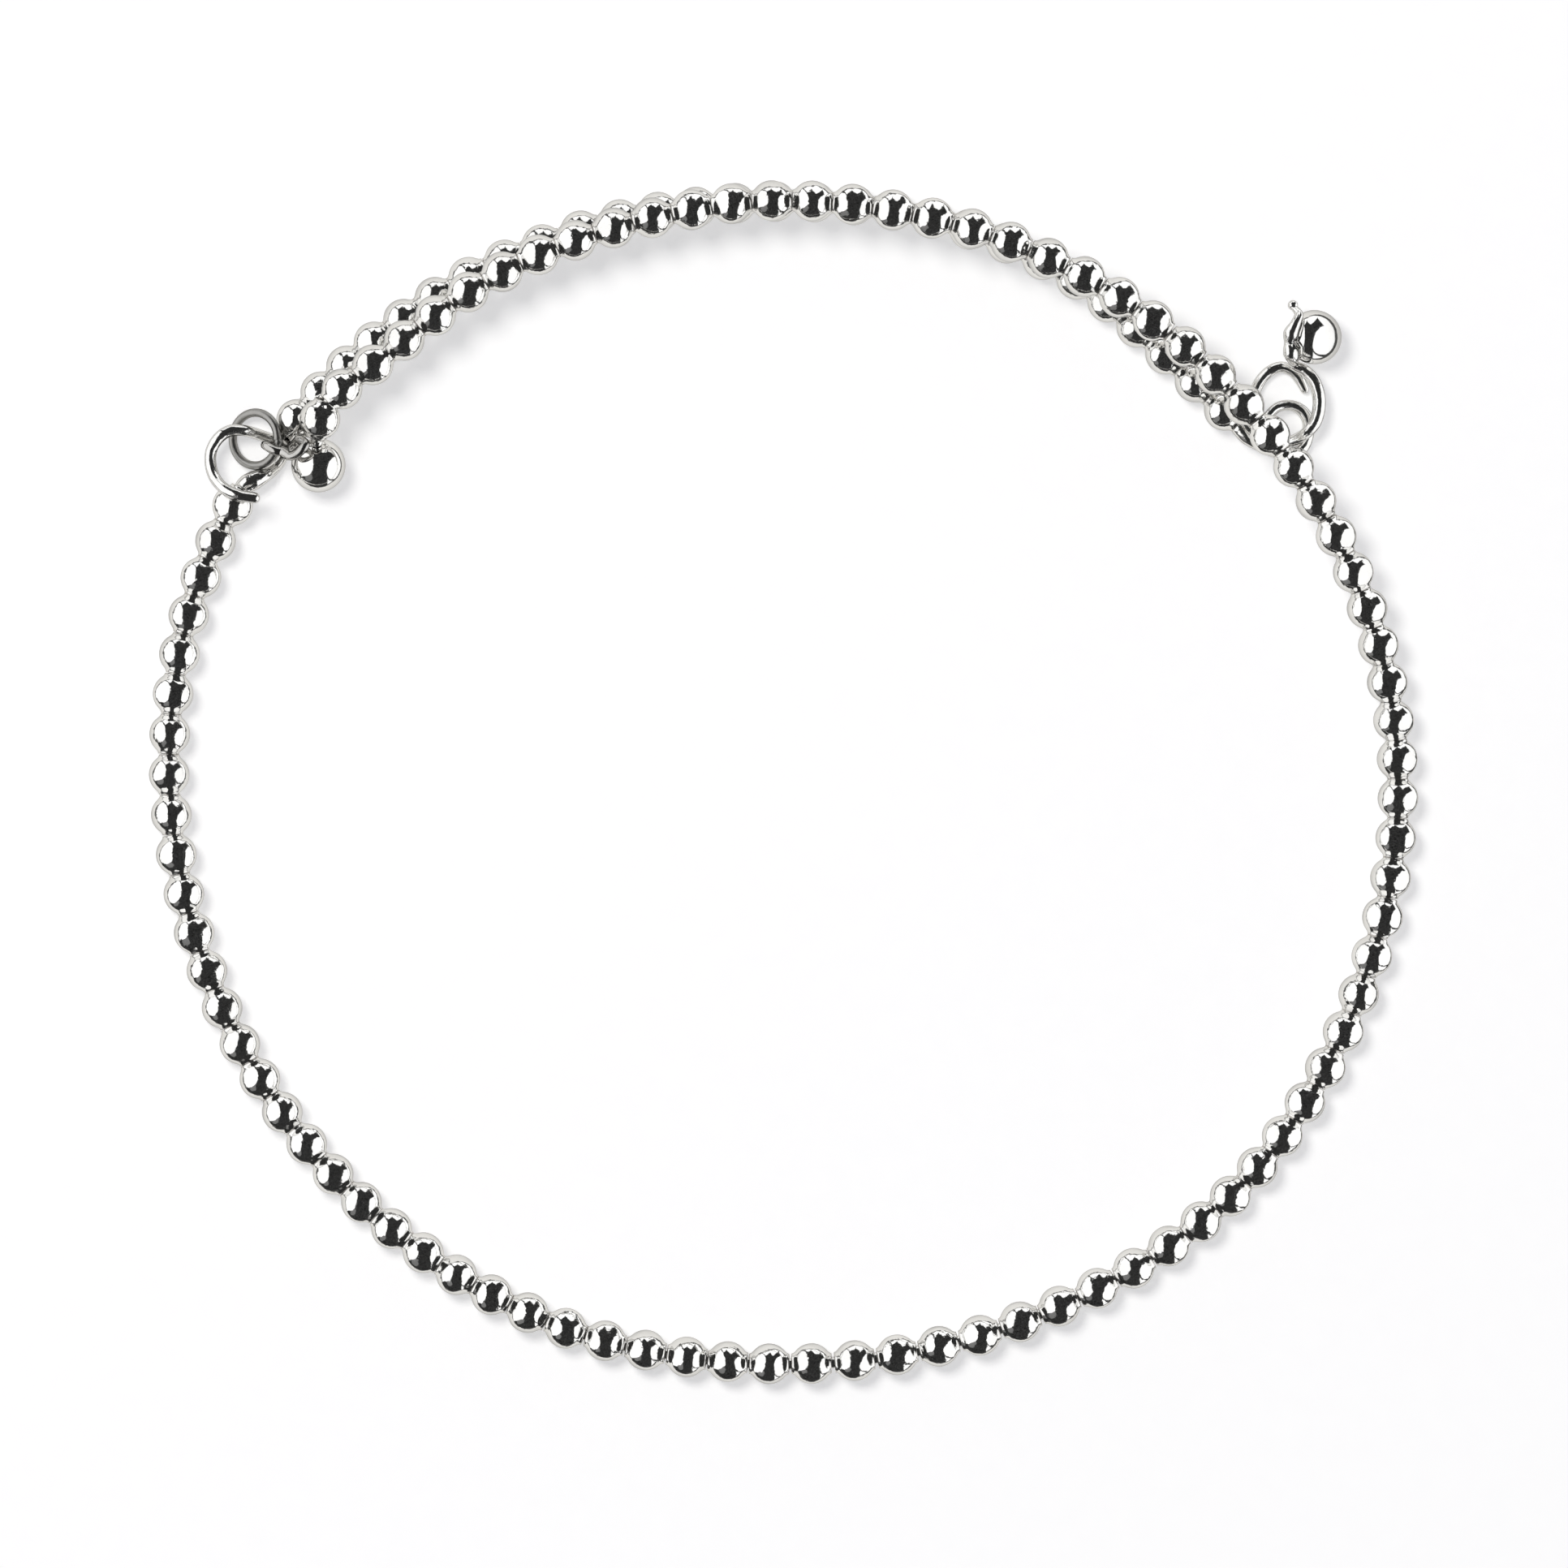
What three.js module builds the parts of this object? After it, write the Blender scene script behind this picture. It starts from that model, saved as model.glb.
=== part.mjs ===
// Beaded coil bracelet that lies flat: a long and a short strand of round beads on spring wire, a
// small ring that links their eyes, a ball on the free end, and a ball drop on a ring.
// Millimetres, +Z up, the table at z = 0, the origin at the middle of the footprint.
import * as THREE from "three";

// Driving sizes
const coil_diameter = 62; // across the bead line, on average
const bead_diameter = 2.1;
const bead_seat = 0.024; // how far neighbouring beads sit into each other's holes
const bead_hole_diameter = 0.95;
const strand_clearance = 0.09; // where one strand lies on the other
const long_eye_span = 3.0;
const long_eye_wire = 0.58;
const short_eye_span = 2.0;
const short_eye_wire = 0.48;
const drop_eye_span = 2.3;
const drop_eye_wire = 0.52;
const link_ring_diameter = 2.72; // across the middle of its wire, as the drop ring's sizes are
const link_ring_wire = 0.45;
const link_ring_tilt = 31;
const drop_ring_width = 3.16;
const drop_ring_length = 3.92;
const drop_ring_wire = 0.58;
const end_ball_diameter = 2.8;
const collar_diameter = 0.64;
const collar_clearance = 0.3;
const drop_ball_diameter = 2.8;
const pin_wire = 0.36;

// Sides of the sections, and steps from one row of a wire's table to the next
const bead_sides = 10;
const wire_sides = 6;
const wire_steps = 2;
const ring_steps = 28;
const ball_sides = 16;
const ball_rows = 9;

// Bead line of each strand seen from above: the turn in degrees and the reach from the middle of the
// coil as a share of its radius. The rise is 0 on the table and 1 on top of the short strand. The
// slack is how far the beads there have slid along the wire, in beads.
const short_route = [
  { turn: 38.2, reach: 0.9587, slack: 0 },
  { turn: 44, reach: 0.9516, slack: 0 },
  { turn: 50, reach: 0.9523, slack: 0 },
  { turn: 56, reach: 0.9606, slack: -0.08 },
  { turn: 62, reach: 0.9665, slack: -0.15 },
  { turn: 72, reach: 0.9671, slack: -0.21 },
  { turn: 82, reach: 0.9645, slack: -0.28 },
  { turn: 90, reach: 0.9629, slack: -0.33 },
  { turn: 98, reach: 0.9639, slack: -0.38 },
  { turn: 106, reach: 0.971, slack: -0.48 },
  { turn: 114.7, reach: 0.9771, slack: -0.47 },
  { turn: 122, reach: 0.9861, slack: -0.49 },
  { turn: 130, reach: 0.9929, slack: -0.59 },
  { turn: 137, reach: 1.0003, slack: -0.78 },
  { turn: 144.85, reach: 1.0065, slack: -1 },
];
const long_route = [
  { turn: 151.4, reach: 1.0203, rise: 0, slack: 0 },
  { turn: 166, reach: 1.0223, rise: 0, slack: -0.09 },
  { turn: 180, reach: 1.0158, rise: 0, slack: -0.09 },
  { turn: 200, reach: 1.0016, rise: 0, slack: -0.12 },
  { turn: 220, reach: 0.9871, rise: 0, slack: -0.15 },
  { turn: 240, reach: 0.9748, rise: 0, slack: -0.2 },
  { turn: 250, reach: 0.9703, rise: 0, slack: -0.17 },
  { turn: 260, reach: 0.9632, rise: 0, slack: -0.1 },
  { turn: 270, reach: 0.9613, rise: 0, slack: -0.03 },
  { turn: 280, reach: 0.9642, rise: 0, slack: 0.12 },
  { turn: 290, reach: 0.9703, rise: 0, slack: 0.25 },
  { turn: 300, reach: 0.9816, rise: 0, slack: 0.36 },
  { turn: 312, reach: 1, rise: 0, slack: 0.44 },
  { turn: 320, reach: 1.0094, rise: 0, slack: 0.38 },
  { turn: 340, reach: 1.0145, rise: 0, slack: 0.37 },
  { turn: 360, reach: 1.0174, rise: 0.14, slack: 0.34 },
  { turn: 380, reach: 1.0055, rise: 0.72, slack: 0.12 },
  { turn: 392, reach: 0.9923, rise: 1, slack: 0.13 },
  { turn: 400, reach: 0.9855, rise: 1, slack: 0.11 },
  { turn: 412, reach: 0.9784, rise: 1, slack: 0.18 },
  { turn: 424, reach: 0.9719, rise: 1, slack: 0.2 },
  { turn: 440, reach: 0.9645, rise: 1, slack: 0.24 },
  { turn: 452, reach: 0.9629, rise: 1, slack: 0.25 },
  { turn: 460, reach: 0.9594, rise: 1, slack: 0.24 },
  { turn: 470, reach: 0.9603, rise: 1, slack: 0.22 },
  { turn: 480, reach: 0.9645, rise: 1, slack: 0.18 },
  { turn: 492, reach: 0.9645, rise: 1, slack: 0.15 },
  { turn: 500.5, reach: 0.98, rise: 1, slack: 0.08 },
  { turn: 503.5, reach: 0.9613, rise: 1, slack: 0 },
];

// Half profile of a bead: distance along the wire as a share of the pitch, radius as a share of its own
const bead_profile = [
  { along: -0.33, girth: 0.78 },
  { along: -0.12, girth: 1 },
  { along: 0.12, girth: 1 },
  { along: 0.33, girth: 0.78 },
];

// Bent wires: x and y from the end of the strand as shares of the eye's span, height as a share of a
// bead's diameter, girth as a share of the wire's own
const long_eye_rows = [
  { x: 0.022, y: 0.04, height: 0.47, girth: 1 },
  { x: 0.07, y: 0.1, height: 0.47, girth: 1.35 },
  { x: 0.2, y: 0.13, height: 0.44, girth: 1.38 },
  { x: 0.37, y: 0.2, height: 0.35, girth: 1.25 },
  { x: 0.57, y: 0.36, height: 0.22, girth: 1.08 },
  { x: 0.69, y: 0.53, height: 0.17, girth: 1 },
  { x: 0.73, y: 0.65, height: 0.145, girth: 1 },
  { x: 0.66, y: 0.76, height: 0.18, girth: 1 },
  { x: 0.33, y: 0.9, height: 0.32, girth: 1 },
  { x: 0.05, y: 0.98, height: 0.57, girth: 1 },
  { x: -0.2, y: 0.98, height: 0.66, girth: 1 },
  { x: -0.39, y: 0.86, height: 0.69, girth: 1 },
  { x: -0.52, y: 0.64, height: 0.66, girth: 1 },
  { x: -0.53, y: 0.39, height: 0.7, girth: 1 },
  { x: -0.45, y: 0.16, height: 0.83, girth: 1 },
  { x: -0.28, y: -0.02, height: 1.03, girth: 1 },
  { x: -0.03, y: -0.13, height: 1.13, girth: 1 },
  { x: 0.22, y: -0.17, height: 1.1, girth: 1 },
];
const short_eye_rows = [
  { x: -0.045, y: -0.065, height: 0.47, girth: 1 },
  { x: -0.075, y: -0.13, height: 0.475, girth: 1.3 },
  { x: -0.02, y: -0.23, height: 0.52, girth: 1.25 },
  { x: 0.06, y: -0.29, height: 0.66, girth: 1.1 },
  { x: 0.15, y: -0.34, height: 0.88, girth: 1 },
  { x: 0.26, y: -0.25, height: 1.06, girth: 1 },
  { x: 0.37, y: -0.15, height: 1.26, girth: 1 },
  { x: 0.53, y: -0.29, height: 1.5, girth: 1 },
  { x: 0.45, y: -0.4, height: 1.53, girth: 1 },
  { x: 0.3, y: -0.53, height: 1.43, girth: 1 },
  { x: 0.13, y: -0.57, height: 1.28, girth: 1 },
  { x: -0.08, y: -0.47, height: 1.11, girth: 1 },
  { x: -0.26, y: -0.43, height: 1.1, girth: 1 },
  { x: -0.475, y: -0.31, height: 0.98, girth: 1 },
  { x: -0.49, y: -0.285, height: 0.72, girth: 1 },
  { x: -0.29, y: -0.27, height: 0.53, girth: 1 },
];
const drop_eye_rows = [
  { x: 0.035, y: -0.045, height: 0.47, girth: 1.2 },
  { x: 0.22, y: -0.25, height: 0.48, girth: 1.3 },
  { x: 0.51, y: -0.45, height: 0.49, girth: 1.08 },
  { x: 0.82, y: -0.62, height: 0.47, girth: 1 },
  { x: 1.14, y: -0.68, height: 0.38, girth: 1 },
  { x: 1.43, y: -0.54, height: 0.24, girth: 1 },
  { x: 1.56, y: -0.22, height: 0.17, girth: 1 },
  { x: 1.58, y: 0.09, height: 0.16, girth: 1 },
  { x: 1.41, y: 0.34, height: 0.18, girth: 1 },
  { x: 1.16, y: 0.45, height: 0.24, girth: 1 },
  { x: 0.89, y: 0.4, height: 0.32, girth: 1 },
  { x: 0.69, y: 0.22, height: 0.41, girth: 1 },
  { x: 0.6, y: 0, height: 0.48, girth: 1 },
  { x: 0.63, y: -0.2, height: 0.53, girth: 1 },
];

// Drop ring round its own middle: turn in degrees, reach as a share of its half width and half length,
// height as a share of a bead's diameter. Both ends lap at the top, by the ball.
const drop_ring_centre = { x: 1.105, y: 0.47 }; // from the end of the short strand, in eye spans
const drop_ring_rows = [
  { turn: 78, reach: 1.02, height: 0.45 },
  { turn: 56, reach: 1.03, height: 0.465 },
  { turn: 35, reach: 1.03, height: 0.475 },
  { turn: 12, reach: 1.02, height: 0.5 },
  { turn: -10, reach: 1.01, height: 0.52 },
  { turn: -32, reach: 1.0, height: 0.535 },
  { turn: -57, reach: 0.96, height: 0.51 },
  { turn: -84, reach: 0.98, height: 0.345 },
  { turn: -110, reach: 1.08, height: 0.165 },
  { turn: -134, reach: 1.14, height: 0.145 },
  { turn: -157, reach: 1.12, height: 0.145 },
  { turn: -181, reach: 1.1, height: 0.145 },
  { turn: -207, reach: 1.09, height: 0.145 },
  { turn: -235, reach: 1.04, height: 0.145 },
  { turn: -261, reach: 0.99, height: 0.145 },
  { turn: -283, reach: 0.92, height: 0.155 },
  { turn: -305, reach: 0.83, height: 0.165 },
  { turn: -325, reach: 0.7, height: 0.155 },
];

// Pin over the side of the drop ball: offsets from the ball's middle as shares of its radius
const pin_rows = [
  { x: -0.83, y: 1.2, z: 0.47, girth: 0.6 },
  { x: -0.8, y: 1.16, z: 0.48, girth: 1.5 },
  { x: -0.73, y: 1.06, z: 0.54, girth: 1.35 },
  { x: -0.58, y: 0.83, z: 0.7, girth: 1 },
  { x: -0.73, y: 0.48, z: 0.88, girth: 1 },
  { x: -0.94, y: 0.15, z: 0.88, girth: 1.45 },
  { x: -1.0, y: -0.18, z: 0.74, girth: 1.1 },
  { x: -0.91, y: -0.57, z: 0.86, girth: 2.1 },
  { x: -0.79, y: -0.86, z: 0.5, girth: 1.45 },
  { x: -0.76, y: -0.96, z: 0.2, girth: 1.1 },
];

// Ball of the free end: collar profile beyond the ball's surface, as shares of the collar's length
const collar_profile = [
  { along: 0.12, girth: 0.72 },
  { along: 0.4, girth: 1 },
  { along: 0.58, girth: 0.7 },
  { along: 0.82, girth: 1 },
  { along: 1, girth: 0.7 },
];
const end_ball_offset = { x: 0.125, y: -1.07 }; // from the end of the strand, shares of its radius
const drop_ball_offset = { x: 0.347, y: 0.872 }; // from the drop ring's middle, in ring lengths

// Derived sizes
const coil_radius = coil_diameter / 2;
const bead_radius = bead_diameter / 2;
const bead_pitch = bead_diameter - bead_seat;
const facet_turn = Math.PI / bead_sides;
const table_height = bead_radius * Math.cos(facet_turn);
const hole_share = bead_hole_diameter / bead_diameter;
const end_ball_radius = end_ball_diameter / 2;
const drop_ball_radius = drop_ball_diameter / 2;

const silver = { color: 0xd8d7d3, roughness: 0.14, metalness: 1 };

// Value of one column of a route between its rows: a smooth cubic through the rows
function along_rows(rows, column, turn) {
  const last = rows.length - 1;
  let low = 0;
  while (low < last - 1 && rows[low + 1].turn < turn) low += 1;
  const slope = (row) => {
    const before = rows[Math.max(row - 1, 0)];
    const after = rows[Math.min(row + 1, last)];
    return (after[column] - before[column]) / (after.turn - before.turn);
  };
  const width = rows[low + 1].turn - rows[low].turn;
  const t = THREE.MathUtils.clamp((turn - rows[low].turn) / width, 0, 1);
  const from = rows[low][column] * (1 + 2 * t) + slope(low) * width * t;
  const to = rows[low + 1][column] * (3 - 2 * t) - slope(low + 1) * width * (1 - t);
  return from * (1 - t) ** 2 + to * t ** 2;
}

// Height of the long strand at a turn: it lies on the short one, beside or over its bead line
function strand_height(turn, reach, rise) {
  const below = coil_radius * along_rows(short_route, "reach", turn - 360);
  const apart = Math.min(Math.abs(reach - below), bead_diameter);
  const stack = Math.sqrt((bead_diameter + strand_clearance) ** 2 - apart ** 2);
  return table_height + rise * stack;
}

// Points of a bead line, close together, each with the distance run there less what the beads slid
function trace_route(rows) {
  const points = [];
  const spacing = 0.25;
  const first = rows[0].turn;
  const count = Math.round((rows[rows.length - 1].turn - first) / spacing);
  let run = 0;
  for (let i = 0; i <= count; i += 1) {
    const turn = first + i * spacing;
    const reach = coil_radius * along_rows(rows, "reach", turn);
    const rise = "rise" in rows[0] ? along_rows(rows, "rise", turn) : 0;
    const angle = THREE.MathUtils.degToRad(turn);
    const height = rise > 0 ? strand_height(turn, reach, Math.min(rise, 1)) : table_height;
    const place = new THREE.Vector3(reach * Math.cos(angle), reach * Math.sin(angle), height);
    if (i > 0) run += place.distanceTo(points[i - 1].place);
    const slid = bead_pitch * along_rows(rows, "slack", turn);
    points.push({ place, run: run - slid });
  }
  return points;
}

// Place on a traced line after a distance run
function place_at(points, run) {
  let high = 1;
  while (high < points.length - 1 && points[high].run < run) high += 1;
  const from = points[high - 1];
  const to = points[high];
  const share = (run - from.run) / (to.run - from.run);
  return from.place.clone().lerp(to.place, THREE.MathUtils.clamp(share, 0, 1));
}

// Closed body swept through stations, each with its place, heading, upward direction and radius
function sweep(stations, sides, first_angle) {
  const positions = [];
  const faces = [];
  for (const { place, heading, up, radius } of stations) {
    const side = new THREE.Vector3().crossVectors(heading, up);
    for (let k = 0; k < sides; k += 1) {
      const angle = first_angle + (2 * Math.PI * k) / sides;
      const point = place.clone();
      point.addScaledVector(side, radius * Math.cos(angle));
      point.addScaledVector(up, radius * Math.sin(angle));
      positions.push(point.x, point.y, point.z);
    }
  }
  for (let i = 0; i < stations.length - 1; i += 1) {
    for (let k = 0; k < sides; k += 1) {
      const a = i * sides + k;
      const b = i * sides + ((k + 1) % sides);
      faces.push(a, a + sides, b, b, a + sides, b + sides);
    }
  }
  const end = (stations.length - 1) * sides;
  for (let k = 1; k < sides - 1; k += 1) {
    faces.push(0, k, k + 1, end, end + k + 1, end + k);
  }
  const geometry = new THREE.BufferGeometry();
  geometry.setAttribute("position", new THREE.Float32BufferAttribute(positions, 3));
  geometry.setIndex(faces);
  geometry.computeVertexNormals();
  return geometry;
}

// Gives each station a heading from its neighbours and an upward direction square to it
function set_headings(stations, keep_level) {
  let up = new THREE.Vector3(0, 0, 1);
  stations.forEach((station, i) => {
    const before = stations[Math.max(i - 1, 0)].place;
    const after = stations[Math.min(i + 1, stations.length - 1)].place;
    station.heading = after.clone().sub(before).normalize();
    if (keep_level) up = new THREE.Vector3(0, 0, 1);
    up = up.clone().addScaledVector(station.heading, -up.dot(station.heading)).normalize();
    station.up = up;
  });
  return stations;
}

// A strand: beads fused on their wire, with the rim of each hole between two beads
function strand_geometry(route) {
  const points = trace_route(route);
  const length = points[points.length - 1].run;
  const bead_count = Math.round(length / bead_pitch);
  const pitch = length / bead_count;
  const stations = [{ place: place_at(points, 0), radius: bead_radius * hole_share }];
  for (let bead = 0; bead < bead_count; bead += 1) {
    for (const { along, girth } of bead_profile) {
      const run = (bead + 0.5 + along) * pitch;
      stations.push({ place: place_at(points, run), radius: bead_radius * girth });
    }
    const rim = { place: place_at(points, (bead + 1) * pitch), radius: bead_radius * hole_share };
    stations.push(rim);
  }
  return sweep(set_headings(stations, true), bead_sides, facet_turn - Math.PI / 2);
}

// A bent wire: a smooth line through its rows' places, with its own girth at each
function wire_geometry(places, girths, wire) {
  const curve = new THREE.CatmullRomCurve3(places, false, "centripetal");
  const spans = places.length - 1;
  const steps = spans * wire_steps;
  const stations = [];
  for (let i = 0; i <= steps; i += 1) {
    const share = i / steps;
    const row = Math.min(Math.floor(share * spans), spans - 1);
    const girth = THREE.MathUtils.lerp(girths[row], girths[row + 1], share * spans - row);
    stations.push({ place: curve.getPoint(share), radius: (wire / 2) * girth });
  }
  return sweep(set_headings(stations, false), wire_sides, 0);
}

// An eye bent at the end of a strand
function eye_geometry(end, rows, span, wire) {
  const places = rows.map(
    ({ x, y, height }) =>
      new THREE.Vector3(end.x + x * span, end.y + y * span, height * bead_diameter),
  );
  return wire_geometry(places, rows.map((row) => row.girth), wire);
}

function drop_ring_geometry(end) {
  const places = drop_ring_rows.map(({ turn, reach, height }) => {
    const angle = THREE.MathUtils.degToRad(turn);
    return new THREE.Vector3(
      end.x + drop_ring_centre.x * drop_eye_span + (drop_ring_width / 2) * reach * Math.cos(angle),
      end.y + drop_ring_centre.y * drop_eye_span + (drop_ring_length / 2) * reach * Math.sin(angle),
      height * bead_diameter,
    );
  });
  return wire_geometry(places, places.map(() => 1), drop_ring_wire);
}

function pin_geometry(ball) {
  const places = pin_rows.map(
    ({ x, y, z }) => new THREE.Vector3(x, y, z).multiplyScalar(drop_ball_radius).add(ball),
  );
  return wire_geometry(places, pin_rows.map((row) => row.girth), pin_wire);
}

// The end ball with its collar, turned round the line from the ball to the end of the strand
function end_ball_geometry(ball, end) {
  const axis = end.clone().sub(ball);
  const collar = axis.length() - collar_clearance - end_ball_radius;
  const neck = Math.asin((0.72 * collar_diameter) / end_ball_diameter);
  const profile = [];
  for (let i = 0; i <= ball_rows; i += 1) {
    const angle = Math.PI - (i * (Math.PI - neck)) / ball_rows;
    const radius = i === 0 ? 0 : end_ball_radius * Math.sin(angle);
    profile.push(new THREE.Vector2(radius, end_ball_radius * Math.cos(angle)));
  }
  for (const { along, girth } of collar_profile) {
    const height = end_ball_radius + along * collar;
    profile.push(new THREE.Vector2((girth * collar_diameter) / 2, height));
  }
  profile.push(new THREE.Vector2(0, end_ball_radius + collar));
  const geometry = new THREE.LatheGeometry(profile, ball_sides);
  const turn = new THREE.Quaternion();
  turn.setFromUnitVectors(new THREE.Vector3(0, 1, 0), axis.normalize());
  return geometry.applyQuaternion(turn).translate(ball.x, ball.y, ball.z);
}

function add_piece(group, name, geometry) {
  const mesh = new THREE.Mesh(geometry, new THREE.MeshStandardMaterial(silver));
  mesh.name = name;
  group.add(mesh);
  return mesh;
}

function end_place(route, at_start) {
  const points = trace_route(route);
  return points[at_start ? 0 : points.length - 1].place;
}

const bracelet = new THREE.Group();
add_piece(bracelet, "long_strand", strand_geometry(long_route));
add_piece(bracelet, "short_strand", strand_geometry(short_route));

const long_start = end_place(long_route, true);
const long_end = end_place(long_route, false);
const short_start = end_place(short_route, true);
const short_end = end_place(short_route, false);

const long_eye = eye_geometry(long_start, long_eye_rows, long_eye_span, long_eye_wire);
const short_eye = eye_geometry(short_end, short_eye_rows, short_eye_span, short_eye_wire);
const drop_eye = eye_geometry(short_start, drop_eye_rows, drop_eye_span, drop_eye_wire);
add_piece(bracelet, "long_strand_eye", long_eye);
add_piece(bracelet, "short_strand_eye", short_eye);
add_piece(bracelet, "drop_eye", drop_eye);

const link_ring = add_piece(
  bracelet,
  "link_ring",
  new THREE.TorusGeometry(link_ring_diameter / 2, link_ring_wire / 2, wire_sides, ring_steps),
);
link_ring.position.set(
  long_start.x + 0.23 * long_eye_span,
  long_start.y + 0.8375 * long_eye_span,
  0.49 * bead_diameter,
);
link_ring.rotation.y = -THREE.MathUtils.degToRad(link_ring_tilt);

const end_ball = new THREE.Vector3(
  long_end.x + end_ball_offset.x * end_ball_radius,
  long_end.y + end_ball_offset.y * end_ball_radius,
  end_ball_radius,
);
add_piece(bracelet, "end_ball", end_ball_geometry(end_ball, long_end));

add_piece(bracelet, "drop_ring", drop_ring_geometry(short_start));
const drop_ball = add_piece(
  bracelet,
  "drop_ball",
  new THREE.SphereGeometry(drop_ball_radius, ball_sides, ball_rows),
);
drop_ball.rotation.x = Math.PI / 2;
drop_ball.position.set(
  short_start.x + drop_ring_centre.x * drop_eye_span + drop_ball_offset.x * drop_ring_length,
  short_start.y + drop_ring_centre.y * drop_eye_span + drop_ball_offset.y * drop_ring_length,
  drop_ball_radius,
);
add_piece(bracelet, "drop_pin", pin_geometry(drop_ball.position));

// The origin is the middle of the footprint
const box = new THREE.Box3().setFromObject(bracelet, true);
const middle = box.getCenter(new THREE.Vector3());
bracelet.position.set(-middle.x, -middle.y, 0);
const model = new THREE.Group();
model.add(bracelet);

export default model;
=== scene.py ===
"""Dress of a beaded coil bracelet: polished silver beads on spring wire, its eyes, rings and drop.

Lengths in the tables are millimetres, as on a bench drawing; every mesh is built in metres.
"""

import logging
import math
import random
from dataclasses import dataclass, field
from enum import Enum
from typing import Any, Callable, Iterable, Optional, Sequence

import bmesh
import bpy
from mathutils import Euler, Matrix, Quaternion, Vector


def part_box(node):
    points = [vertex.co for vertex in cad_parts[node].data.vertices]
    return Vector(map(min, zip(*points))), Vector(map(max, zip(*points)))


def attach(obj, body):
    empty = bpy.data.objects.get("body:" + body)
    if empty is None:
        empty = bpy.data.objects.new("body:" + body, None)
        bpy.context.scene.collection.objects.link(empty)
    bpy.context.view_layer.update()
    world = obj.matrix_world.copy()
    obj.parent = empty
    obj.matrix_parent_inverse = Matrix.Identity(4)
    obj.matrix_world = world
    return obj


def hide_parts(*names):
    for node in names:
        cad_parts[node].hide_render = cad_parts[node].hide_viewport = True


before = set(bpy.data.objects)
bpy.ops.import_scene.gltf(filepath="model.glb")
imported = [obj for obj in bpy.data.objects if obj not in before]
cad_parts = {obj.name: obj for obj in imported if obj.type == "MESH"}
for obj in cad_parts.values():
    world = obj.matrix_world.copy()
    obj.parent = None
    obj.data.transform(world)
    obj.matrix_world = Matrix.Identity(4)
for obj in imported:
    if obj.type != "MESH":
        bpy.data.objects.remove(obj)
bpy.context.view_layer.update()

log = logging.getLogger("bracelet")

MM = 0.001
BODY = "root"
PHOTO_PIXELS = 1932
PIXELS_PER_MM = 24.0
PHOTO_MIDDLE = Vector(((966 - 965) / PIXELS_PER_MM, (965 - 966) / PIXELS_PER_MM, 0.0))

LONG_EYE_SPAN = 3.0
SHORT_EYE_SPAN = 2.0
DROP_EYE_SPAN = 2.3
DROP_RING_LENGTH = 3.92
COIL_RADIUS = 31.0
BEAD_DIAMETER = 2.1
BEAD_SEAT = 0.024
BEAD_FACETS = 10
STRAND_CLEARANCE = 0.09
TABLE_HEIGHT = BEAD_DIAMETER / 2 * math.cos(math.pi / BEAD_FACETS)


class Slot(str, Enum):
    """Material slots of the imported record."""

    BEADS = "silver_beads"
    WIRE = "silver_wire"


# Routes of the two strands


@dataclass(frozen=True)
class Turn:
    """A row of a strand's route: turn in degrees, reach in coil radii, rise from 0 to 1.

    The slack is how many beads' lengths the beads there have slid along the wire.
    """

    turn: float
    reach: float
    rise: float = 0.0
    slack: float = 0.0


def along_rows(rows: Sequence[Turn], column: str, turn: float) -> float:
    """Read a column between a route's rows, on a smooth cubic.

    Args:
        rows: the route, in order of turn.
        column: the name of the column, "reach", "rise" or "slack".
        turn: where to read it, in degrees.

    Returns:
        The column's value there.
    """
    last = len(rows) - 1
    low = 0
    while low < last - 1 and rows[low + 1].turn < turn:
        low += 1

    def slope(row: int) -> float:
        """Slope of the column at a row."""
        before, after = rows[max(row - 1, 0)], rows[min(row + 1, last)]
        return (getattr(after, column) - getattr(before, column)) / (after.turn - before.turn)

    width = rows[low + 1].turn - rows[low].turn
    t = min(max((turn - rows[low].turn) / width, 0.0), 1.0)
    start = getattr(rows[low], column) * (1 + 2 * t) + slope(low) * width * t
    end = getattr(rows[low + 1], column) * (3 - 2 * t) - slope(low + 1) * width * (1 - t)
    return start * (1 - t) ** 2 + end * t**2


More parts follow.
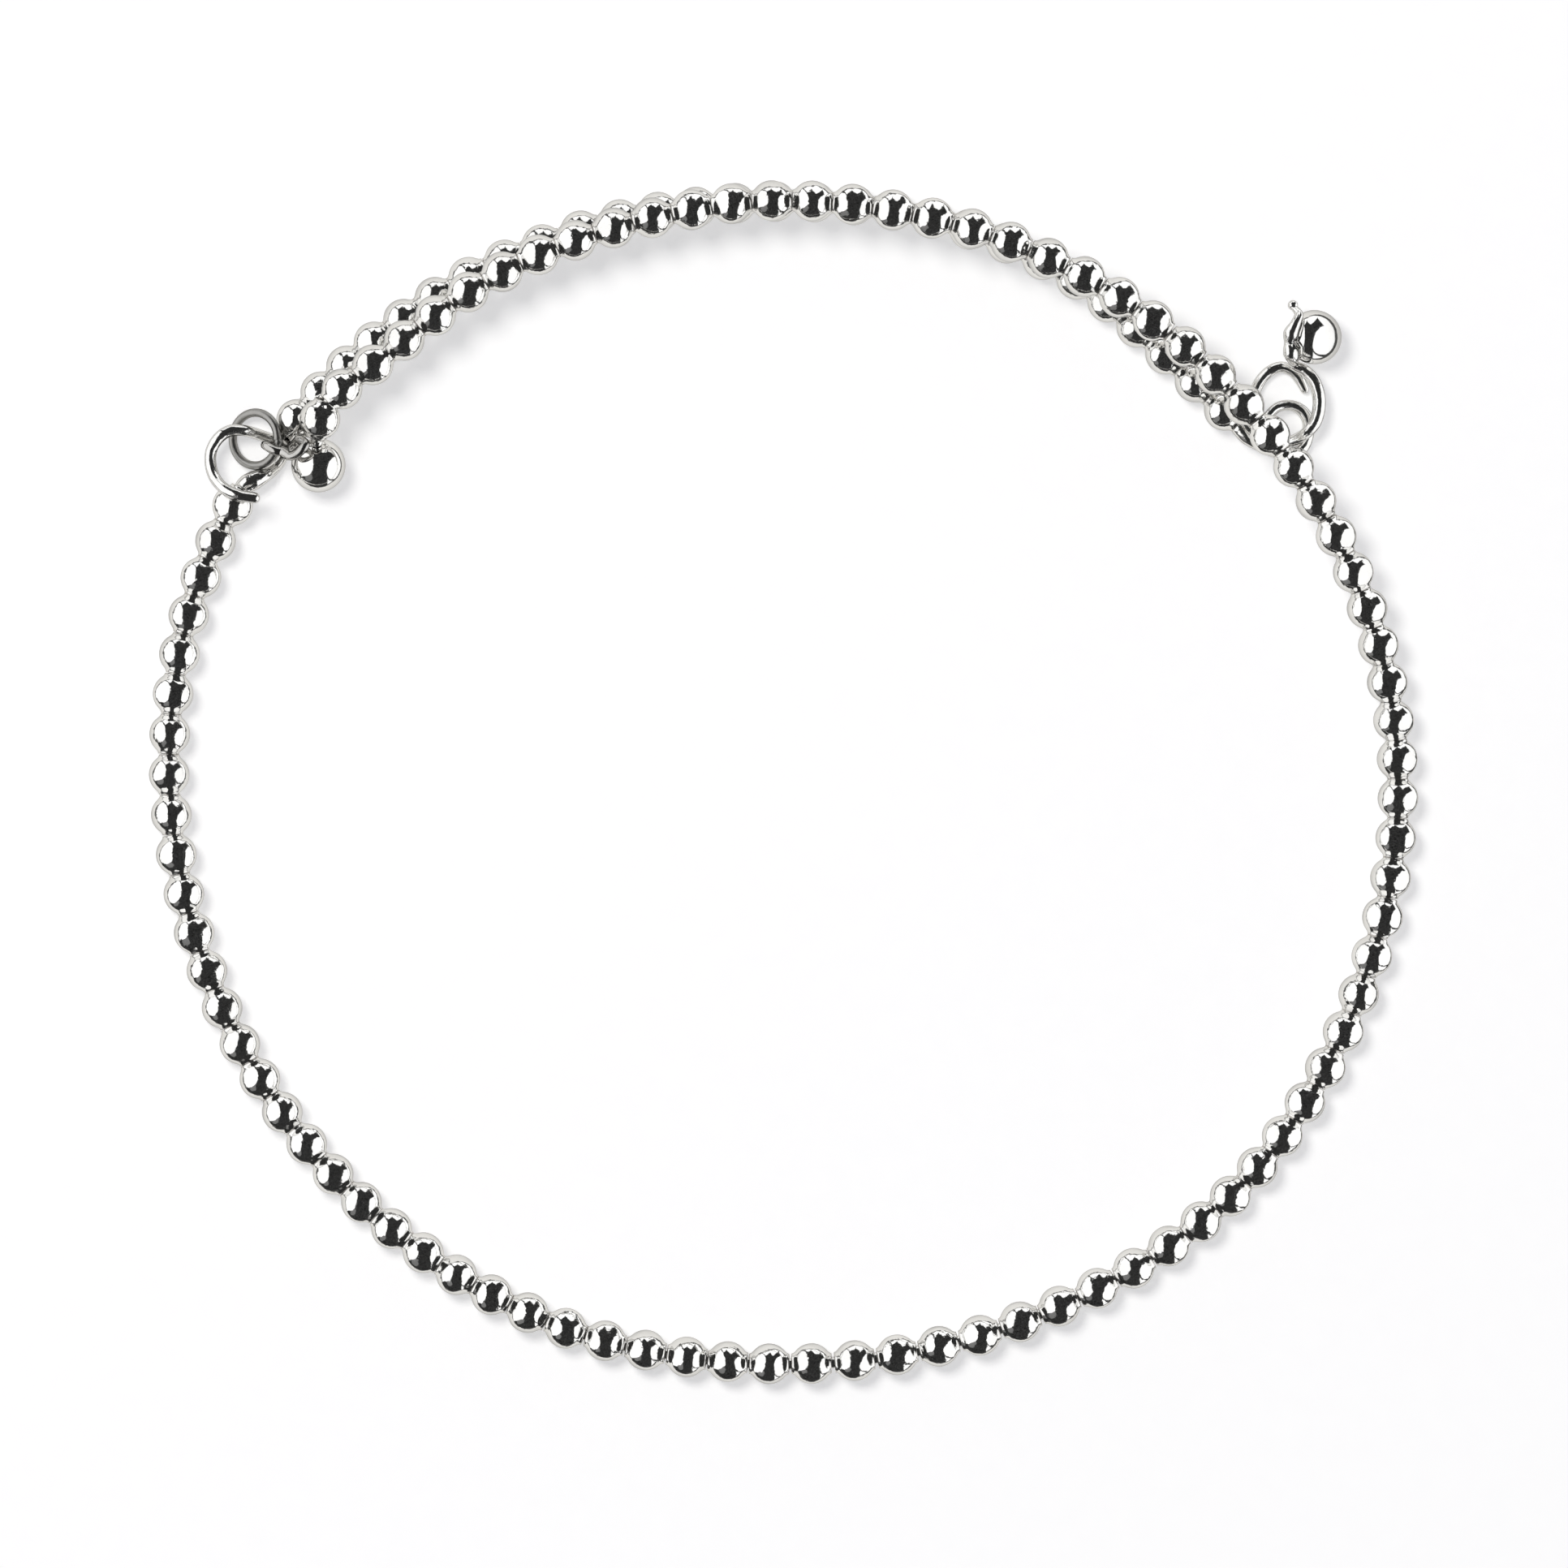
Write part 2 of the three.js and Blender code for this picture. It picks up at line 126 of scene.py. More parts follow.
SHORT_ROUTE: tuple[Turn, ...] = (
    Turn(38.2, 0.9587, 0, 0),
    Turn(44, 0.9516, 0, 0),
    Turn(50, 0.9523, 0, 0),
    Turn(56, 0.9606, 0, -0.08),
    Turn(62, 0.9665, 0, -0.15),
    Turn(72, 0.9671, 0, -0.21),
    Turn(82, 0.9645, 0, -0.28),
    Turn(90, 0.9629, 0, -0.33),
    Turn(98, 0.9639, 0, -0.38),
    Turn(106, 0.971, 0, -0.48),
    Turn(114.7, 0.9771, 0, -0.47),
    Turn(122, 0.9861, 0, -0.49),
    Turn(130, 0.9929, 0, -0.59),
    Turn(137, 1.0003, 0, -0.78),
    Turn(144.85, 1.0065, 0, -1),
)
LONG_ROUTE: tuple[Turn, ...] = (
    Turn(151.4, 1.0203, 0, 0),
    Turn(166, 1.0223, 0, -0.09),
    Turn(180, 1.0158, 0, -0.09),
    Turn(200, 1.0016, 0, -0.12),
    Turn(220, 0.9871, 0, -0.15),
    Turn(240, 0.9748, 0, -0.2),
    Turn(250, 0.9703, 0, -0.17),
    Turn(260, 0.9632, 0, -0.1),
    Turn(270, 0.9613, 0, -0.03),
    Turn(280, 0.9642, 0, 0.12),
    Turn(290, 0.9703, 0, 0.25),
    Turn(300, 0.9816, 0, 0.36),
    Turn(312, 1, 0, 0.44),
    Turn(320, 1.0094, 0, 0.38),
    Turn(340, 1.0145, 0, 0.37),
    Turn(360, 1.0174, 0.14, 0.34),
    Turn(380, 1.0055, 0.72, 0.12),
    Turn(392, 0.9923, 1, 0.13),
    Turn(400, 0.9855, 1, 0.11),
    Turn(412, 0.9784, 1, 0.18),
    Turn(424, 0.9719, 1, 0.2),
    Turn(440, 0.9645, 1, 0.24),
    Turn(452, 0.9629, 1, 0.25),
    Turn(460, 0.9594, 1, 0.24),
    Turn(470, 0.9603, 1, 0.22),
    Turn(480, 0.9645, 1, 0.18),
    Turn(492, 0.9645, 1, 0.15),
    Turn(500.5, 0.98, 1, 0.08),
    Turn(503.5, 0.9613, 1, 0),
)


class BeadLine:
    """The line through a strand's beads, with the distance run along it.

    Args:
        rows: the strand's route.
        offset: where the coil's middle is in the frame, in millimetres.
    """

    STEP = 0.25

    def __init__(self, rows: Sequence[Turn], offset: Vector) -> None:
        self.points: list[Vector] = []
        self.runs: list[float] = []
        first = rows[0].turn
        run = 0.0
        for i in range(round((rows[-1].turn - first) / self.STEP) + 1):
            turn = first + i * self.STEP
            reach = COIL_RADIUS * along_rows(rows, "reach", turn)
            rise = min(along_rows(rows, "rise", turn), 1.0)
            height = self.height(turn, reach, rise) if rise > 0 else TABLE_HEIGHT
            angle = math.radians(turn)
            point = Vector((reach * math.cos(angle), reach * math.sin(angle), height)) + offset
            if self.points:
                run += (point - self.points[-1]).length
            self.points.append(point)
            slid = along_rows(rows, "slack", turn) * (BEAD_DIAMETER - BEAD_SEAT)
            self.runs.append(run - slid)

    @staticmethod
    def height(turn: float, reach: float, rise: float) -> float:
        """Height of a bead that lies on the short strand, by how far it lies beside it."""
        below = COIL_RADIUS * along_rows(SHORT_ROUTE, "reach", turn - 360)
        apart = min(abs(reach - below), BEAD_DIAMETER)
        return TABLE_HEIGHT + rise * math.sqrt((BEAD_DIAMETER + STRAND_CLEARANCE) ** 2 - apart**2)

    @property
    def length(self) -> float:
        """Length of the line, in millimetres."""
        return self.runs[-1]

    def at(self, run: float) -> Vector:
        """Point on the line after a distance run, also a little past either end."""
        high = 1
        while high < len(self.runs) - 1 and self.runs[high] < run:
            high += 1
        share = (run - self.runs[high - 1]) / (self.runs[high] - self.runs[high - 1])
        return self.points[high - 1].lerp(self.points[high], share)

    def heading(self, run: float) -> Vector:
        """Direction of the line after a distance run."""
        reach = 0.3
        low, high = max(run - reach, 0.0), min(run + reach, self.length)
        return (self.at(high) - self.at(low)).normalized()


# Node trees


class Socket:
    """A socket of a node tree with arithmetic on it; each operation adds its Math node."""

    def __init__(self, bench: "NodeBench", socket: bpy.types.NodeSocket) -> None:
        self.bench = bench
        self.socket = socket

    def _math(self, operation: str, *values: Any) -> "Socket":
        """Add a Math node with this operation."""
        return self.bench.node("ShaderNodeMath", {"operation": operation}, values)

    def __add__(self, other: Any) -> "Socket":
        """Sum."""
        return self._math("ADD", self, other)

    __radd__ = __add__

    def __sub__(self, other: Any) -> "Socket":
        """Difference."""
        return self._math("SUBTRACT", self, other)

    def __rsub__(self, other: Any) -> "Socket":
        """Difference from a number."""
        return self._math("SUBTRACT", other, self)

    def __mul__(self, other: Any) -> "Socket":
        """Product."""
        return self._math("MULTIPLY", self, other)

    __rmul__ = __mul__

    def __truediv__(self, other: Any) -> "Socket":
        """Quotient."""
        return self._math("DIVIDE", self, other)

    def __pow__(self, other: Any) -> "Socket":
        """Power."""
        return self._math("POWER", self, other)

    def __abs__(self) -> "Socket":
        """Size without its sign."""
        return self._math("ABSOLUTE", self)

    def fraction(self) -> "Socket":
        """What is left of it above the next whole number below."""
        return self._math("FRACT", self)

    def at_least(self, other: Any) -> "Socket":
        """The larger of the two."""
        return self._math("MAXIMUM", self, other)

    def at_most(self, other: Any) -> "Socket":
        """The smaller of the two."""
        return self._math("MINIMUM", self, other)

    def step(self, edge: Any, softness: float) -> "Socket":
        """Go from 0 to 1 where this passes an edge, over a width of softness."""
        ramp = (self - edge) / softness + 0.5
        return self.bench.node("ShaderNodeClamp", {}, (ramp, 0.0, 1.0))


class NodeBench:
    """A node tree and the one way in which nodes are put on it."""

    def __init__(self, tree: bpy.types.NodeTree) -> None:
        self.tree = tree
        tree.nodes.clear()

    def node(
        self, kind: str, settings: dict[str, Any], values: Iterable[Any] | dict[Any, Any] = (),
        output: int | str = 0,
    ) -> Socket:
        """Add a node.

        Args:
            kind: the node's type.
            settings: its properties.
            values: numbers or sockets for its inputs, in order or by name.
            output: which output to give back.

        Returns:
            The output, wrapped.
        """
        made = self.tree.nodes.new(kind)
        for name, value in settings.items():
            setattr(made, name, value)
        pairs = values.items() if isinstance(values, dict) else enumerate(values)
        for key, value in pairs:
            if isinstance(value, Socket):
                self.tree.links.new(value.socket, made.inputs[key])
            elif value is not None:
                made.inputs[key].default_value = value
        return Socket(self, made.outputs[output] if made.outputs else None)

    def coordinates(self) -> Socket:
        """Object coordinates."""
        return self.node("ShaderNodeTexCoord", {}, output="Object")

    def noise(self, at: Socket, size_mm: float, detail: float, roughness: float = 0.5) -> Socket:
        """Noise with features of a size in millimetres, from 0 to 1."""
        values = {
            "Vector": at, "Scale": 1.0 / (size_mm * MM), "Detail": detail, "Roughness": roughness,
        }
        return self.node("ShaderNodeTexNoise", {}, values, output="Fac")

    def mix_colour(self, share: Any, first: Any, second: Any) -> Socket:
        """Blend two colours."""
        return self.node(
            "ShaderNodeMix", {"data_type": "RGBA"}, {0: share, 6: first, 7: second}, output=2
        )


@dataclass(frozen=True)
class SilverFinish:
    """Polished silver with fine wear.

    Args:
        name: the material's name.
        slot: a slot of the record; not used.
        bright: colour of clean metal.
        dull: colour of its faint tarnish.
        gloss: roughness where it is well polished.
        wear: added roughness where it is worn.
        scratch_mm: width of the hairline scratches.
        scratch_depth: strength of their bump.
        dimple: depth of the small unevenness of the surface, in millimetres.
        swell: depth of its slow unevenness, in millimetres.
        edge_tint: how bright the metal stays at a glancing angle; below 1 it is painted shade that
            darkens the rim, standing in for the shade the rim mirrors.
        flat_side: where along X a flattened side starts, in millimetres, and how steep it is.
    """

    name: str
    slot: Slot
    bright: tuple[float, float, float] = (0.93, 0.925, 0.91)
    dull: tuple[float, float, float] = (0.74, 0.72, 0.69)
    gloss: float = 0.035
    wear: float = 0.07
    scratch_mm: float = 0.02
    scratch_depth: float = 0.0002
    dimple: float = 0.026
    swell: float = 0.36
    edge_tint: float = 0.6
    flat_side: Optional[tuple[float, float]] = None

    def make(self) -> bpy.types.Material:
        """Build the material."""
        material = bpy.data.materials.new(self.name)
        material.use_nodes = True
        bench = NodeBench(material.node_tree)
        at = bench.coordinates()
        patches = bench.noise(at, 1.7, 4.0, 0.6)
        grain = bench.noise(at, 0.05, 3.0, 0.7)
        stretched = bench.node(
            "ShaderNodeMapping", {"vector_type": "POINT"},
            {"Vector": at, "Rotation": (0.4, 0.3, 0.7), "Scale": (1.0, 14.0, 14.0)},
        )
        hairlines = bench.noise(stretched, self.scratch_mm * 14.0, 2.0, 0.55)
        scratches = hairlines.step(0.64, 0.03)
        crevice = bench.node("ShaderNodeAttribute", {"attribute_name": "crevice"}, output="Fac")
        worn = patches.step(0.56, 0.3)
        tarnish = (worn * 0.25 + crevice * 0.75 + scratches * 0.2).at_most(1.0)
        colour = bench.mix_colour(tarnish, (*self.bright, 1.0), (*self.dull, 1.0))
        roughness = worn * self.wear + scratches * 0.05 + crevice * 0.12 + self.gloss
        slow = bench.noise(at, 2.2, 1.0)
        small = bench.noise(at, 0.45, 2.0)
        relief = (slow * self.swell + small * self.dimple + grain * 0.0001
                  + scratches * self.scratch_depth)
        if self.flat_side:
            start, slope = self.flat_side
            past = bench.node("ShaderNodeSeparateXYZ", {}, (at,)) / MM - start
            relief = relief - ((past * past + 0.03) ** 0.5 + past) * (slope / 2)
        bump = bench.node(
            "ShaderNodeBump", {}, {"Strength": 1.0, "Distance": MM, "Height": relief},
            output="Normal",
        )
        # Painted shade: a grey edge tint darkens the metal's rim at a glancing angle.
        tint = (self.edge_tint, self.edge_tint, self.edge_tint, 1.0)
        shader = bench.node(
            "ShaderNodeBsdfPrincipled", {},
            {"Base Color": colour, "Roughness": roughness, "Metallic": 1.0,
             "Specular Tint": tint, "Normal": bump},
        )
        bench.node("ShaderNodeOutputMaterial", {}, {"Surface": shader})
        return material


# Meshes


class Workshop:
    """Makes objects in the frame and hands them to it."""

    def __init__(self) -> None:
        self.made: list[str] = []

    def piece(
        self, name: str, mesh: bpy.types.Mesh, material: bpy.types.Material, slot: Slot,
        nodes: Sequence[str] = (),
    ) -> bpy.types.Object:
        """Put a finished mesh in the scene as a piece of the bracelet.

        Args:
            name: the piece's name.
            mesh: its mesh, in metres and in place.
            material: its finish.
            slot: the record's material slot; not used.
            nodes: the CAD nodes it stands for.

        Returns:
            The object.
        """
        mesh.name = name
        mesh.materials.clear()
        mesh.materials.append(material)
        mesh.shade_smooth()
        piece = bpy.data.objects.new(name, mesh)
        bpy.context.scene.collection.objects.link(piece)
        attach(piece, BODY)
        if nodes:
            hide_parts(*nodes)
        self.made.append(name)
        log.info("%s: %d faces", name, len(mesh.polygons))
        return piece


def mesh_of(bm: bmesh.types.BMesh, name: str) -> bpy.types.Mesh:
    """Turn a bmesh into a mesh with outward normals and free it."""
    bmesh.ops.recalc_face_normals(bm, faces=bm.faces)
    mesh = bpy.data.meshes.new(name)
    bm.to_mesh(mesh)
    bm.free()
    return mesh


def turned(
    profile: Sequence[tuple[float, float]], steps: int, closed: bool,
    crevice: Callable[[float], float] = lambda along: 0.0,
) -> bmesh.types.BMesh:
    """Turn a profile round the X axis.

    Args:
        profile: distances along X and radii, in millimetres.
        steps: faces round the turn.
        closed: whether the profile is a closed loop, as of a drilled bead.
        crevice: how much of the surface is crevice at a distance along X.

    Returns:
        A bmesh in millimetres.
    """
    bm = bmesh.new()
    layer = bm.verts.layers.float.new("crevice")
    row = [bm.verts.new((along, 0.0, radius)) for along, radius in profile]
    for vert in row:
        vert[layer] = crevice(vert.co.x)
    edges = [bm.edges.new(pair) for pair in zip(row, row[1:])]
    if closed:
        edges.append(bm.edges.new((row[-1], row[0])))
    bmesh.ops.spin(
        bm, geom=row + edges, cent=(0, 0, 0), axis=(1, 0, 0), angle=2 * math.pi, steps=steps,
        use_merge=True,
    )
    bmesh.ops.remove_doubles(bm, verts=bm.verts, dist=1e-5)
    return bm


def turn_to(heading: Vector) -> Quaternion:
    """Rotation that takes the X axis to a heading and keeps Z up."""
    side = Vector((0, 0, 1)).cross(heading).normalized()
    up = heading.cross(side)
    return Matrix((heading, side, up)).transposed().to_quaternion()


@dataclass
class Strand:
    """A strand of drilled round beads on spring wire.

    Args:
        name: its name in the frame.
        rows: its route.
        offset: where the coil's middle is, in millimetres.
        seed: seeds the small differences between beads.
        sides: faces round a bead.
        arc_steps: faces from one neck to the other.
        hole_radius: of the drilled hole.
        neck_radius: where two beads meet.
        shoulder: radius at which the ball goes over into its neck.
        wire_radius: of the spring wire.
        sway: how far a bead sits off the wire, as an angle in degrees.
    """

    name: str
    rows: Sequence[Turn]
    offset: Vector
    seed: int
    sides: int = 32
    arc_steps: int = 16
    hole_radius: float = 0.33
    neck_radius: float = 0.53
    shoulder: float = 0.7
    wire_radius: float = 0.29
    sway: float = 1.6
    line: BeadLine = field(init=False)

    def __post_init__(self) -> None:
        """Lay out the bead line."""
        self.line = BeadLine(self.rows, self.offset)

    @property
    def bead_count(self) -> int:
        """Number of beads that fill the line."""
        return round(self.line.length / (BEAD_DIAMETER - BEAD_SEAT))

    def bead(self, pitch: float) -> bmesh.types.BMesh:
        """One drilled bead with a rounded lip at each hole, its hole along X."""
        radius = BEAD_DIAMETER / 2
        half = pitch / 2 - 0.003
        start = math.asin(self.shoulder / radius)
        ball_end = radius * math.cos(start)
        reach = half - 0.012 - ball_end
        drop = -ball_end / self.shoulder * reach
        profile = [
            (-half + 0.06, self.hole_radius),
            (-half, self.hole_radius + 0.05),
            (-half, self.neck_radius - 0.05),
            (-half + 0.012, self.neck_radius),
        ]
        for t in (0.75, 0.5, 0.25):
            fall = (self.shoulder - self.neck_radius) * (2 * t**3 - 3 * t**2 + 1)
            profile.append((-ball_end - t * reach,
                            self.neck_radius + fall + drop * (t**3 - 2 * t**2 + t)))
        for i in range(self.arc_steps + 1):
            angle = start + i * (math.pi - 2 * start) / self.arc_steps
            profile.append((-radius * math.cos(angle), radius * math.sin(angle)))
        profile += [(-along, r) for along, r in reversed(profile[:7])]
        return turned(
            profile, self.sides, True,
            lambda along: min(max((abs(along) - 0.9) / 0.12, 0.0), 1.0),
        )

    def beads(self) -> bpy.types.Mesh:
        """All beads of the strand as one mesh."""
        pitch = self.line.length / self.bead_count
        bm = self.bead(pitch)
        template = bm.verts[:] + bm.edges[:] + bm.faces[:]
        draw = random.Random(self.seed)
        for i in range(self.bead_count):
            run = (i + 0.5) * pitch
            copy = bmesh.ops.duplicate(bm, geom=template)["geom"]
            verts = [v for v in copy if isinstance(v, bmesh.types.BMVert)]
            lean = Euler([math.radians(draw.uniform(-s, s)) for s in (180, self.sway, self.sway)])
            turn = turn_to(self.line.heading(run)) @ lean.to_quaternion()
            place = Matrix.LocRotScale(self.line.at(run) * MM, turn, Vector((MM, MM, MM)))
            bmesh.ops.transform(bm, matrix=place, verts=verts)
        bmesh.ops.delete(bm, geom=[v for v in template if isinstance(v, bmesh.types.BMVert)])
        return mesh_of(bm, self.name)

    def core(self) -> bpy.types.Mesh:
        """The spring wire inside the beads."""
        count = self.bead_count * 4
        points = [self.line.at(self.line.length * i / count) for i in range(count + 1)]
        return wire_mesh(points, [self.wire_radius] * len(points), 6)

    def build(self, shop: Workshop, beads: bpy.types.Material, wire: bpy.types.Material) -> None:
        """Make the strand's two pieces."""
        shop.piece(f"{self.name}_beads", self.beads(), beads, Slot.BEADS, [self.name])
        shop.piece(f"{self.name}_wire", self.core(), wire, Slot.WIRE)


def wire_mesh(
    points: Sequence[Vector], radii: Sequence[float], roundness: int = 9
) -> bpy.types.Mesh:
    """Draw a round wire through points, with rounded ends.

    Args:
        points: places along its middle, in millimetres.
        radii: its radius at each.
        roundness: resolution of its section.

    Returns:
        The mesh, in metres.
    """
    points, radii = list(points), list(radii)
    for end in (0, -1):
        inner = points[1] if end == 0 else points[-2]
        out = (points[end] - inner).normalized()
        tip, radius = points[end].copy(), radii[end]
        dome = [(tip + out * radius * math.sin(a), radius * math.cos(a)) for a in
                (math.radians(d) for d in (25, 45, 62, 76, 86))]
        for place, size in dome:
            points.insert(0 if end == 0 else len(points), place)
            radii.insert(0 if end == 0 else len(radii), size)
    curve = bpy.data.curves.new("wire", "CURVE")
    curve.dimensions = "3D"
    curve.twist_mode = "MINIMUM"
    curve.bevel_depth = MM
    curve.bevel_resolution = roundness
    curve.use_fill_caps = True
    spline = curve.splines.new("POLY")
    spline.points.add(len(points) - 1)
    for spot, place, radius in zip(spline.points, points, radii):
        spot.co = (*(place * MM), 1.0)
        spot.radius = radius
    drawn = bpy.data.objects.new("wire", curve)
    mesh = bpy.data.meshes.new_from_object(drawn)
    bpy.data.objects.remove(drawn)
    bpy.data.curves.remove(curve)
    bm = bmesh.new()
    bm.from_mesh(mesh)
    bpy.data.meshes.remove(mesh)
    bmesh.ops.remove_doubles(bm, verts=bm.verts, dist=1e-7)
    return mesh_of(bm, "wire")


def smooth_line(
    rows: Sequence[Sequence[float]], steps: int = 10
) -> tuple[list[Vector], list[float]]:
    """Run a smooth line through rows of place and radius, paced by how far apart they are.

    Args:
        rows: x, y, z and radius, in millimetres.
        steps: points from one row to the next.

    Returns:
        The points and the radius at each.
    """
    places = [Vector(row[:3]) for row in rows]
    sizes = [row[3] for row in rows]
    places = [2 * places[0] - places[1], *places, 2 * places[-1] - places[-2]]
    points: list[Vector] = []
    radii: list[float] = []
    for i in range(len(rows) - 1):
        p = places[i : i + 4]
        knots = [0.0]
        for a, b in zip(p, p[1:]):
            knots.append(knots[-1] + max((b - a).length, 1e-6) ** 0.5)
        for k in range(steps if i < len(rows) - 2 else steps + 1):
            t = knots[1] + (knots[2] - knots[1]) * k / steps

            def blend(a: Vector, b: Vector, start: float, end: float) -> Vector:
                """Mix two places by where t lies between two knots."""
                return a * ((end - t) / (end - start)) + b * ((t - start) / (end - start))

            first = [blend(p[j], p[j + 1], knots[j], knots[j + 1]) for j in range(3)]
            second = [blend(first[j], first[j + 1], knots[j], knots[j + 2]) for j in range(2)]
            points.append(blend(second[0], second[1], knots[1], knots[2]))
            radii.append(sizes[i] + (sizes[i + 1] - sizes[i]) * k / steps)
    return points, radii


@dataclass
class BentWire:
    """A wire bent by hand, such as an eye, the drop's ring or its pin.

    Args:
        name: the piece's name.
        node: the CAD node it stands for.
        anchor: where its rows count from, in millimetres.
        span: millimetres to one unit of a row's x and y.
        rise: millimetres to one unit of a row's height.
        gauge: radius of the wire.
        rows: x, y, height and girth.
    """

    name: str
    node: str
    anchor: Vector
    span: float
    rise: float
    gauge: float
    rows: Sequence[tuple[float, float, float, float]]

    def build(self, shop: Workshop, material: bpy.types.Material) -> bpy.types.Object:
        """Make the piece."""
        base = Vector((self.anchor.x, self.anchor.y, 0.0))
        rows = [
            (*(base + Vector((x * self.span, y * self.span, h * self.rise))), g * self.gauge)
            for x, y, h, g in self.rows
        ]
        points, radii = smooth_line(rows)
        return shop.piece(self.name, wire_mesh(points, radii), material, Slot.WIRE, [self.node])


LONG_EYE_ROWS = (
    (-0.09, -0.17, 0.475, 0.95),
    (0.02, 0.01, 0.475, 1.55),
    (0.1, 0.08, 0.47, 1.7),
    (0.22, 0.14, 0.46, 1.72),
    (0.38, 0.22, 0.42, 1.36),
    (0.57, 0.36, 0.22, 1.08),
    (0.69, 0.53, 0.17, 1),
    (0.73, 0.65, 0.145, 1),
    (0.66, 0.76, 0.18, 1),
    (0.33, 0.9, 0.32, 1),
    (0.05, 0.98, 0.57, 1),
    (-0.2, 0.98, 0.66, 1.05),
    (-0.39, 0.86, 0.69, 1.05),
    (-0.52, 0.64, 0.66, 1.05),
    (-0.53, 0.39, 0.7, 1.05),
    (-0.45, 0.16, 0.83, 1.05),
    (-0.28, -0.02, 1.03, 1),
    (-0.03, -0.13, 1.13, 1),
    (0.22, -0.17, 1.1, 1),
)
SHORT_EYE_ROWS = (
    (0.2, 0.28, 0.475, 1.1),
    (-0.045, -0.065, 0.47, 1.2),
    (-0.075, -0.13, 0.475, 1.35),
    (-0.02, -0.23, 0.52, 1.25),
    (0.06, -0.29, 0.66, 1.1),
    (0.15, -0.34, 0.88, 1),
    (0.26, -0.25, 1.06, 1),
    (0.37, -0.15, 1.26, 1),
    (0.53, -0.29, 1.5, 1),
    (0.45, -0.4, 1.53, 1),
    (0.3, -0.53, 1.43, 1),
    (0.13, -0.57, 1.28, 1),
    (-0.08, -0.47, 1.11, 1),
    (-0.26, -0.43, 1.1, 1),
    (-0.475, -0.31, 0.98, 1),
    (-0.49, -0.285, 0.72, 1),
    (-0.29, -0.27, 0.53, 1),
)
DROP_EYE_ROWS = (
    (-0.3, 0.38, 0.475, 1.1),
    (0.035, -0.045, 0.47, 1.85),
    (0.22, -0.25, 0.47, 1.8),
    (0.51, -0.45, 0.48, 1.35),
    (0.82, -0.62, 0.47, 1.0),
    (1.14, -0.68, 0.38, 1.1),
    (1.42, -0.53, 0.24, 1.2),
    (1.55, -0.22, 0.17, 1.24),
    (1.56, 0.09, 0.16, 1.24),
    (1.4, 0.34, 0.18, 1.16),
    (1.16, 0.44, 0.24, 1.08),
    (0.89, 0.4, 0.32, 1.04),
    (0.69, 0.22, 0.41, 1),
    (0.6, 0, 0.48, 1),
    (0.63, -0.2, 0.53, 1),
)
PIN_ROWS = (
    (-0.8, 1.16, 0.48, 1.5),
    (-0.77, 1.11, 0.51, 1.35),
    (-0.73, 1.04, 0.55, 1),
    (-0.59, 0.83, 0.68, 1.25),
    (-0.71, 0.46, 0.84, 1.6),
    (-0.87, 0.12, 0.82, 2.3),
    (-0.92, -0.22, 0.74, 1.6),
    (-0.88, -0.58, 0.8, 2.3),
    (-0.78, -0.86, 0.5, 1.6),
    (-0.76, -0.96, 0.2, 1.1),
)


@dataclass
class DropRing:
    """The open ring of the drop, its two ends lapped by the ball.

    Args:
        middle: its middle, in millimetres.
        half_width: half of its width.
        half_length: half of its length.
        gauge: radius of its wire.
    """

    middle: Vector
    half_width: float = 1.58
    half_length: float = DROP_RING_LENGTH / 2
    gauge: float = 0.29
    rows: Sequence[tuple[float, float, float, float]] = (
        (78, 1.02, 0.45, 0.95),
        (56, 1.03, 0.465, 1.08),
        (35, 1.03, 0.475, 1.16),
        (12, 1.02, 0.5, 1.18),
        (-10, 1.01, 0.52, 1.16),
        (-32, 1.0, 0.535, 1.12),
        (-57, 0.96, 0.51, 1.05),
        (-84, 0.98, 0.345, 1.0),
        (-110, 1.08, 0.165, 1.0),
        (-134, 1.14, 0.145, 1.0),
        (-157, 1.12, 0.145, 1.0),
        (-181, 1.1, 0.145, 1.0),
        (-207, 1.09, 0.145, 1.0),
        (-235, 1.04, 0.145, 1.0),
        (-258, 0.99, 0.145, 1.0),
        (-281, 0.87, 0.15, 0.98),
        (-302, 0.74, 0.15, 0.92),
        (-325, 0.67, 0.14, 0.78),
    )

    def build(self, shop: Workshop, material: bpy.types.Material) -> None:
        """Make the ring."""
        rows = []
        for turn, reach, height, girth in self.rows:
            angle = math.radians(turn)
            rows.append((
                self.middle.x + self.half_width * reach * math.cos(angle),
                self.middle.y + self.half_length * reach * math.sin(angle),
                height * BEAD_DIAMETER,
                girth * self.gauge,
            ))
        points, radii = smooth_line(rows)
        shop.piece("drop_ring_wire", wire_mesh(points, radii), material, Slot.WIRE, ["drop_ring"])


@dataclass
class LinkRing:
    """The small ring that links both eyes, cut through at its right.

    Args:
        middle: its middle, in millimetres.
        radius: to the middle of its wire.
        gauge: half the thickness of its wire.
        tilt: how far it leans, right side up, in degrees.
        cut: half of the cut's opening, in degrees.
        offset: how far its two ends miss each other.
    """

    middle: Vector
    radius: float = 1.36
    gauge: float = 0.22
    tilt: float = 31.0
    cut: float = 1.6
    offset: float = 0.05

    def build(self, shop: Workshop, material: bpy.types.Material) -> None:
        """Make the ring."""
        lean = Quaternion((0, 1, 0), -math.radians(self.tilt))
        points = []
        steps = 72
        for i in range(steps + 1):
            share = i / steps
            angle = math.radians(self.cut + share * (360 - 2 * self.cut) - 4)
            radius = self.radius + self.offset * (share - 0.5) * abs(2 * share - 1) ** 6
            around = Vector((radius * math.cos(angle), radius * math.sin(angle), 0.0))
            points.append(self.middle + lean @ around)
        mesh = wire_mesh(points, [self.gauge] * len(points))
        shop.piece("link_ring_wire", mesh, material, Slot.WIRE, ["link_ring"])


